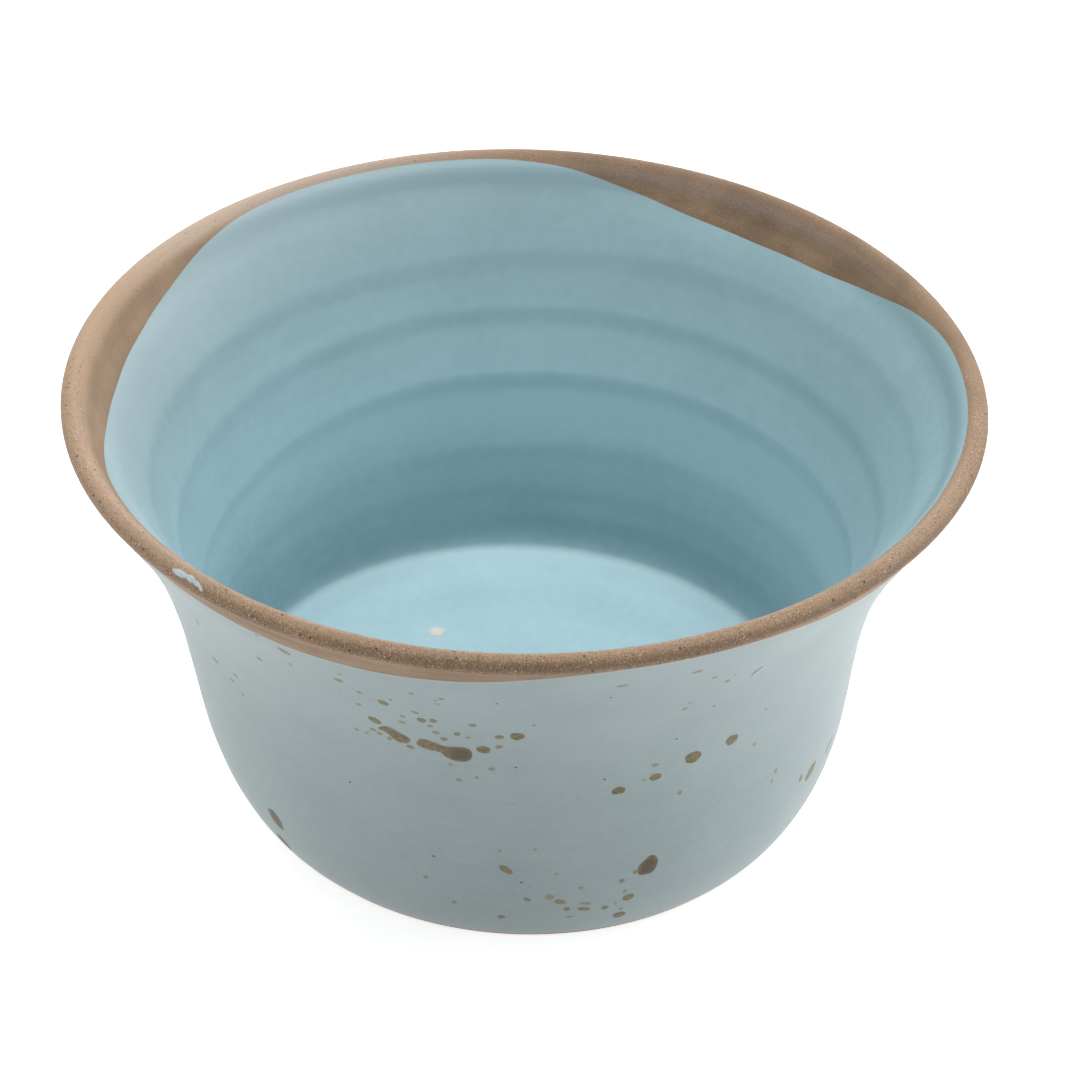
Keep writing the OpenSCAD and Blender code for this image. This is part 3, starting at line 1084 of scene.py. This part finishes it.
def lens(outline, surface, rise, rings):
    """A closed lens over a surface, with its core as a trait. The outline is in metres along and up."""
    shares = np.concatenate([np.linspace(0, 1, rings + 1)[1:], np.linspace(1, 0, rings + 1)[1:-1]])
    top = np.concatenate([np.zeros(rings), np.ones(rings - 1)])
    dome = top * (SUNK + rise * np.sqrt(1 - shares**2)) - SUNK
    flat = shares[:, None, None] * outline
    rows = [surface(row[:, 0], row[:, 1], lift) for row, lift in zip(flat, dome)]
    middles = [surface(0.0, 0.0, -SUNK), surface(0.0, 0.0, rise)]
    places = np.concatenate([flat.reshape(-1, 2), np.zeros((2, 2))])
    core = np.linalg.norm(places[:, None] - outline, axis=2).min(axis=1)
    points, quads, fans, _ = skin(rows, {}, middles)
    return points, quads, fans, {"core": core, "along": places[:, 0]}


def on_wall(turn, height):
    """The outer coat around a place on it, as a function of metres sideways, metres upward and lift."""
    middle = OUTER.length_at(height * MM)
    radius = OUTER.at(middle)[0]
    return lambda side, up, lift: on_coat(np.radians(turn) + side / radius, middle + up, lift)


def inked(shape, left_iron, right_iron):
    """A lens with its share of iron as a trait, which may change from its left part to its right part."""
    points, quads, fans, traits = shape
    iron = left_iron + (right_iron - left_iron) * ramp(traits["along"], *IRON_CHANGE)
    return points, quads, fans, {"core": traits["core"], "iron": iron}


print("a lens lies", round(SUNK / MM, 2), "mm into the coat")

# %% Drops and flicks
DROP_RISE = 0.1 * MM
FULL_DROP = 3
SMALL_RINGS = 4
LARGE_RINGS = 7
DRAWN_RINGS = 10
DRAWN_STEPS = 5


def drop(turn, height, length, width, tilt=0, taper=0, iron=None, seed=0):
    """One drop of iron wash on the outer coat. A small drop holds little iron."""
    outline = spread(leaning(length, width, tilt, taper, seed))
    filled = min(1, min(length, width) / FULL_DROP)
    iron = 0.5 * (0.4 + 0.6 * filled) if iron is None else iron
    rings = SMALL_RINGS if length < SMALL_DROP else LARGE_RINGS
    return inked(lens(outline, on_wall(turn, height), DROP_RISE * filled, rings), iron, iron)


def drawn_drop(turn, height, outline, left_iron, right_iron):
    """A drop with an outline given point by point, in millimetres along and up the wall."""
    fine = spread(softened(outline * MM, DRAWN_STEPS))
    return inked(lens(fine, on_wall(turn, height), DROP_RISE, DRAWN_RINGS), left_iron, right_iron)


def flick(name, node, drops, drawn=()):
    """One flick of the brush as one piece."""
    shapes = [drop(*each, seed=number) for number, each in enumerate(drops)]
    piece(name, joined(shapes + list(drawn)), IRON_WASH, node)


print("a drop stands up to", round(DROP_RISE / MM, 2), "mm off the glaze")

# %% The flicks that the brush left
# A drop is its turn, height, length and width and, where it needs them, its tilt, taper and iron. Turns and
# tilts are in degrees, heights, lengths and widths in millimetres, and taper and iron are plain numbers.
STREAK = [(-111, 85, 3.8, 2.4, -32, 0.2), (-94.6, 79.5, 3.4, 3.3, 13), (-89.6, 86.1, 3.5, 3.7, 25),
          (-92.2, 85.5, 2.3, 2, 6), (-92.3, 81.1, 2.1, 1.6, 30), (-93.5, 71.6, 1.7, 1.3),
          (-98.8, 66.1, 1.5, 1.2), (-108.6, 94.9, 3, 2.2, -30), (-103.4, 89.8, 2.2, 2.6),
          (-101.7, 90.4, 2.1, 2), (-102.3, 87.6, 1.6, 1.3), (-101.6, 84.9, 1.8, 1.5),
          (-100.5, 82.5, 1.8, 1.8), (-98.4, 85.5, 1.7, 1.9), (-96.8, 84.3, 1.3, 1.1),
          (-96, 90.4, 2, 1.7), (-106, 76.6, 2.2, 1.6, -10), (-111.7, 80.5, 1.8, 1.4, -12),
          (-110.7, 79.5, 1.6, 1.3, -12), (-104.1, 93.2, 2.2, 1.2, -10), (-106.2, 90.1, 1.5, 1.3),
          (-106.5, 87.1, 2.2, 1.2), (-103.8, 103.1, 1.4, 1.3), (-100.7, 101.2, 1, 1),
          (-99.8, 102.5, 1.4, 1.3), (-100.6, 99.3, 1.3, 0.9), (-114.6, 78.5, 1.3, 1.2),
          (-113, 78.2, 1, 1), (-109.2, 78.3, 1.3, 1.6), (-99.9, 71.9, 1, 1.2), (-95.9, 67.8, 1, 1)]
ROW = [(-53.4, 68.4, 3.9, 3.8, 25), (-60.6, 67, 4.8, 4.5, -8), (-67, 63.2, 3.2, 2.6, 2),
       (-67.4, 68, 2, 1.4, -11), (-73.2, 60.7, 3.7, 2.7, -4), (-62.2, 54.7, 1.3, 1.5),
       (-69, 62.9, 0.8, 0.9), (-47.8, 61.9, 1.1, 1.2)]
OVAL = [(-67, 30.6, 7.8, 5, 73, -0.1, 1), (-69.3, 29.3, 1.4, 1.7), (-71.7, 26.7, 1.5, 1.7)]
LOW = [(-70, 19, 3.2, 2.6, 38), (-70.8, 10.6, 3.4, 3.6, -7), (-74.2, 15.9, 1.8, 2.2, 7),
       (-78.2, 16.6, 3.4, 1.8, -20), (-78, 19.1, 3.2, 1.1, -20), (-81.4, 17.2, 1.8, 2),
       (-82.7, 20.7, 3.1, 2.1, -20, 0, 0.34), (-84.6, 23, 2.5, 2.2, -20, 0, 0.26),
       (-88.6, 22.1, 2.1, 1.5, -38), (-92.1, 33.9, 4.4, 1.9, -45), (-93.5, 13.4, 1.9, 2, -25),
       (-102, 18.2, 1.3, 1.4), (-106.5, 27.2, 1.2, 1.3), (-79.1, 26, 1.1, 1.3), (-70.9, 22, 1, 1.3),
       (-70.9, 13.8, 1.1, 1.3), (-72.3, 17.1, 0.8, 1.2), (-80.7, 13.2, 2.2, 0.9), (-93, 40.8, 1, 0.8),
       (-87, 41.5, 0.8, 1), (-83.4, 32.2, 0.8, 1)]
LEFT = [(-140, 23.8, 7.4, 5, -69, 0, 1.1), (-142.4, 12.2, 6, 5, -62, 0, 1.1)]
RIGHT = [(-28.1, 33.6, 6.2, 3.4, 42, 0.2, 0.4), (-19.8, 34, 5.4, 3, 36, 0, 0.22),
         (-40.9, 46.4, 1.3, 1.7), (-41.5, 43.4, 1, 1.5), (-31.9, 35.1, 1.6, 2.4, 0, 0, 0.4)]
BACK = [(70, 84, 2.6, 2, -20), (73, 81, 7.4, 4, -22, 0.3, 0.7), (77.5, 79.5, 5.6, 3.8, -8, -0.2),
        (82, 77, 2.6, 2.4), (88, 72, 3.2, 3.4, 20), (112, 39.6, 6.4, 4.4, 70, 0, 0.9),
        (114, 36, 2, 2.2), (120, 29, 2.4, 1.8), (28, 52, 3, 3.2), (26, 46, 1.6, 2), (79, 84, 1.6, 1.4),
        (84, 86, 1.4, 1.4), (75, 73, 1.4, 1.2), (118, 46, 1.6, 1.6)]
RIM_LEFT = [(-145.1, 75, 3.2, 1.6, 7), (-139.4, 76, 1.8, 1.6, 6), (-141.4, 72, 1.5, 1.5),
            (-143.9, 90.8, 1.6, 2.6), (-129, 94.7, 1.7, 1.8, -40), (-121.5, 107.4, 4, 1.9, -35),
            (-122.2, 100.3, 1.3, 1.5), (-114.4, 101.1, 2.5, 1.8), (-113.6, 105, 1.5, 1.2),
            (-111.9, 97.3, 1.6, 1.4), (-139.3, 68.7, 1.4, 1.1), (-112.8, 90.8, 1.6, 1.3),
            (-125.2, 110.2, 1.3, 1.2)]
RIM_RIGHT = [(-59.6, 98.6, 1.6, 1.6), (-64.9, 90, 1.6, 1.4, 14), (-64.5, 92.6, 0.8, 1.2),
             (-62.5, 103.2, 1.7, 1.2), (-76.4, 109.9, 3, 1.6, 4), (-66.3, 110.2, 3, 1.8, 8),
             (-58.9, 100.9, 1, 1)]
LEAF = np.array([(-4.3, -0.1), (-3.2, -0.4), (-2.3, -1), (-1.4, -1.8), (-0.9, -2.9), (0, -3.8),
                 (1.5, -4.2), (3, -3.9), (3.9, -3), (3.8, -1.4), (2.7, -0.5), (1.3, 0.3), (-0.1, 1.4),
                 (-1.3, 2.2), (-2.7, 2), (-4.5, 0.6)])
RUN_TOGETHER = np.array([(-6.5, -0.6), (-5.6, -1.2), (-4.5, -1.6), (-3.1, -1.9), (-1.6, -1.8), (-0.4, -2.3),
                         (0.2, -3.3), (1, -4.3), (2.3, -5), (3.8, -5.3), (5.3, -5.3), (6.6, -4.7),
                         (7.5, -3.4), (7.8, -1.8), (7.6, -0.2), (6.8, 1), (5.5, 1.4), (3.4, 1.2), (1.6, 0.8),
                         (-0.2, 1), (-1.6, 1.8), (-3.1, 2.4), (-4.5, 2.8), (-5.6, 2.6), (-6.4, 1.6),
                         (-6.9, 0)])

leaf = drawn_drop(-108.1, 81.5, LEAF, 0.5, 0.5)
run_together = drawn_drop(-100.9, 78.5, RUN_TOGETHER, 0.5, 1)
flick("streak_splash_flick", "streak_splash", STREAK, [leaf, run_together])
for splash, drops in (("row_splash", ROW), ("oval_splash", OVAL), ("low_splash", LOW), ("left_splash", LEFT),
                      ("right_splash", RIGHT), ("back_splash", BACK)):
    flick(splash + "_flick", splash, drops)
flick("rim_left_flick", None, RIM_LEFT)
flick("rim_right_flick", None, RIM_RIGHT)

# %% [markdown]
# ## Pinpoint specks
#
# Besides the flicks, the glaze is dotted with iron specks no wider than a pin. They are too many to place
# by hand, so a seeded scatter spreads them evenly over the wall. Only the darkest few, which the eye would
# miss, are placed one by one.

# %% Specks
SPECK_COUNT = 240
SPECK_SEED = 7
PIN_SIZE = 0.5
PIN_IRON = 2
PINS = [(-107.3, 97.4), (-92.4, 102.4), (-118.2, 55.6), (-104.5, 35.9), (-77.4, 103.7), (-64.5, 76.7),
        (-75.7, 65.9), (-59.6, 86.9), (-47.4, 74.9), (-89.8, 72.6), (-87.3, 91.5), (-89.5, 29.2)]

speck_draw = np.random.default_rng(SPECK_SEED)
speck_turns = speck_draw.uniform(-180, 180, SPECK_COUNT)
speck_heights = speck_draw.uniform(6, 106, SPECK_COUNT)
speck_sizes = speck_draw.uniform(0.15, 0.5, SPECK_COUNT)
specks = list(zip(speck_turns, speck_heights, speck_sizes, speck_sizes))
specks += [(turn, height, PIN_SIZE, PIN_SIZE, 0, 0, PIN_IRON) for turn, height in PINS]
flick("iron_specks", None, specks)

# %% [markdown]
# ## A nick in the glaze
#
# High on the right of the outer wall a crumb under the glaze left a small ridge. It is one narrow lens with
# the finish of the outer coat.

# %% Glaze nick
NICK_RISE = 0.22 * MM
NICK_TURN = -54.5
NICK_HEIGHT = 98.3
nick_outline = leaning(length=4.6, width=1.7, tilt=52, taper=0.2, seed=1)
points, quads, fans, traits = lens(nick_outline, on_wall(NICK_TURN, NICK_HEIGHT), NICK_RISE, LARGE_RINGS)
piece("glaze_nick", (points, quads, fans, {"thin": 0 * traits["core"]}), OUTSIDE_GLAZE)

# %% [markdown]
# ## The fleck on the lip
#
# A smear of glaze was left on the lip at the front left, a shade bluer and paler than the coat. It is
# jagged, as a finger leaves it, so it is laid as a row of thin dabs that overlap along the lip.

# %% Rim fleck
SMEAR_BLUE = srgb(165, 184, 191)
SMEAR_PALE = srgb(178, 194, 199)
FLECK_TURN = -134
FLECK_HEIGHT = 122.9 * MM
FLECK_RISE = 0.22 * MM
FLECK_RINGS = 5
DAB_SEED = 3
DABS = [(-2.7, 0.3, 5.4, 1.9, 3, 0.3), (-0.1, 0.5, 2.2, 1, 12, 0), (1.4, 0.6, 3.4, 1.9, -8, 0.2),
        (3.9, 0.3, 2.6, 1.4, -14, 0), (5.5, -0.2, 2.2, 1.1, -32, 0)]


def smear_finish():
    smear = Finish("pale_glaze_smear")
    mottle = smear.noise(1 * MM, 2)
    tone = smear.blend(smear.step(mottle, 0.35, 0.65), SMEAR_BLUE, SMEAR_PALE)
    return smear.surface(tone, 0.4 + 0.1 * mottle, mottle, 0.05 * MM, {"Specular IOR Level": 0.5})


def dab(side, up, length, width, tilt, taper):
    """One dab of glaze on the lip, in millimetres from the middle of the fleck."""
    middle = OUTER.length_at(FLECK_HEIGHT) + up * MM
    radius = OUTER.at(middle)[0]
    turn = np.radians(FLECK_TURN) + side * MM / radius
    outline = leaning(length, width, tilt, taper, DAB_SEED)
    return lens(outline, lambda along, across, lift: outside(turn + along / radius, middle + across, lift),
                FLECK_RISE, FLECK_RINGS)


piece("rim_fleck_smear", joined([dab(*each) for each in DABS]), smear_finish(), "rim_fleck")

# %% [markdown]
# ## Stage, light and camera
#
# The bowl stands on a plain white floor. A broad soft lamp hangs overhead, a little to the right, with two
# smaller ones high at the left and the right. Soft ones at the back and the right brighten the floor of the
# bowl, and three low ones lift the outer wall out of its own shade, as white cards do in a small studio.
# The world is white for the camera and for reflections, but lights the bowl at a lower level. The camera
# looks down from far away through a long lens, so that the lip stays close to a true ellipse.

# %% Floor
FLOOR_SIZE = 6
FLOOR_GLOW = 0.75
WHITE = (1, 1, 1, 1)
PAPER_GREY = (0.86, 0.86, 0.86, 1)
PAPER_WHITE = (0.9, 0.9, 0.9, 1)


def floor_finish():
    paper = Finish("white_floor")
    fibres = paper.noise(2 * MM, 2)
    tone = paper.blend(fibres, PAPER_GREY, PAPER_WHITE)
    matt = paper.add("ShaderNodeBsdfDiffuse", {}, {"Color": tone})
    glow = paper.add("ShaderNodeEmission", {}, {"Color": WHITE, "Strength": FLOOR_GLOW})
    lit = paper.add("ShaderNodeAddShader", {}, {0: matt, 1: glow})
    shown = paper.add("ShaderNodeMixShader", {}, {0: paper.backdrop_rays(), 1: matt, 2: lit})
    paper.add("ShaderNodeOutputMaterial", {}, {"Surface": shown})
    return paper.owner


floor_mesh = bpy.data.meshes.new("studio_floor")
half = FLOOR_SIZE / 2
floor_corners = [(-half, -half, 0), (half, -half, 0), (half, half, 0), (-half, half, 0)]
floor_mesh.from_pydata(floor_corners, [], [(0, 1, 2, 3)])
floor_mesh.materials.append(floor_finish())
studio_floor = bpy.data.objects.new("studio_floor", floor_mesh)
bpy.context.scene.collection.objects.link(studio_floor)
print("floor", FLOOR_SIZE, "m wide")

# %% World and lamps
WORLD_LEVEL = 0.2
LAMPS = [("overhead_lamp", (0.3, 0.05, 1.4), 1, 10), ("high_right_lamp", (1.2, 0, 2.6), 0.5, 7.5),
         ("high_left_lamp", (-1.2, 0.2, 2.6), 0.5, 18), ("right_lamp", (1.25, 0.45, 0.6), 1, 3.3),
         ("back_lamp", (0, 1.4, 0.6), 1, 9.3), ("low_right_lamp", (1.35, -0.1, 0.15), 0.28, 6),
         ("low_left_lamp", (-1.35, -0.2, 0.15), 0.28, 4.1), ("low_front_lamp", (0, -1.4, 0.15), 0.28, 2)]


def studio_world():
    sky = Graph(bpy.data.worlds.new("studio_white"))
    level = sky.add("ShaderNodeMapRange", {},
                    {"Value": sky.backdrop_rays(), "To Min": WORLD_LEVEL, "To Max": 1})
    light = sky.add("ShaderNodeBackground", {}, {"Color": WHITE, "Strength": level})
    sky.add("ShaderNodeOutputWorld", {}, {"Surface": light})
    return sky.owner


def aimed(away):
    """A turn whose back points along away, as lamps and cameras look along their -Z."""
    back = away / np.linalg.norm(away)
    up = np.array([0, 1, 0]) if abs(back[2]) > 0.99 else np.array([0, 0, 1])
    side = np.cross(up, back)
    side = side / np.linalg.norm(side)
    rise = np.cross(back, side)
    return Matrix([[*map(float, row)] for row in np.stack([side, rise, back], axis=1)]).to_4x4()


def lamp(name, place, size, power):
    """A square soft lamp that faces the middle of the bowl."""
    light = bpy.data.lights.new(name, "AREA")
    light.size = size
    light.energy = power
    hung = bpy.data.objects.new(name, light)
    target = np.array([0, 0, BOWL_HEIGHT / 2])
    away = np.array(place) - target
    hung.matrix_world = Matrix.Translation(place) @ aimed(away)
    bpy.context.scene.collection.objects.link(hung)


bpy.context.scene.world = studio_world()
for lamp_settings in LAMPS:
    lamp(*lamp_settings)
print(len(LAMPS), "lamps")

# %% Camera
CAMERA_DISTANCE = 1800 * MM
CAMERA_ELEVATION = 35.08
CAMERA_ROLL = 1.38
CAMERA_TARGET = np.array([5.18, 0, 76.98]) * MM
IMAGE_WIDTH = 1080
FOCAL_PIXELS = 6838
SENSOR = 36

camera_data = bpy.data.cameras.new("studio_camera")
camera_data.sensor_width = SENSOR
camera_data.lens = FOCAL_PIXELS / IMAGE_WIDTH * SENSOR
camera = bpy.data.objects.new("studio_camera", camera_data)
elevation = np.radians(CAMERA_ELEVATION)
camera_place = CAMERA_TARGET + CAMERA_DISTANCE * np.array([0, -np.cos(elevation), np.sin(elevation)])
tilt = Matrix.Rotation(np.pi / 2 - elevation, 4, "X") @ Matrix.Rotation(np.radians(CAMERA_ROLL), 4, "Z")
camera.matrix_world = Matrix.Translation(camera_place) @ tilt
bpy.context.scene.collection.objects.link(camera)
bpy.context.scene.camera = camera
bpy.context.scene.view_settings.view_transform = "Standard"
print("camera", np.round(camera_place, 3), "lens", round(camera_data.lens, 1), "mm")
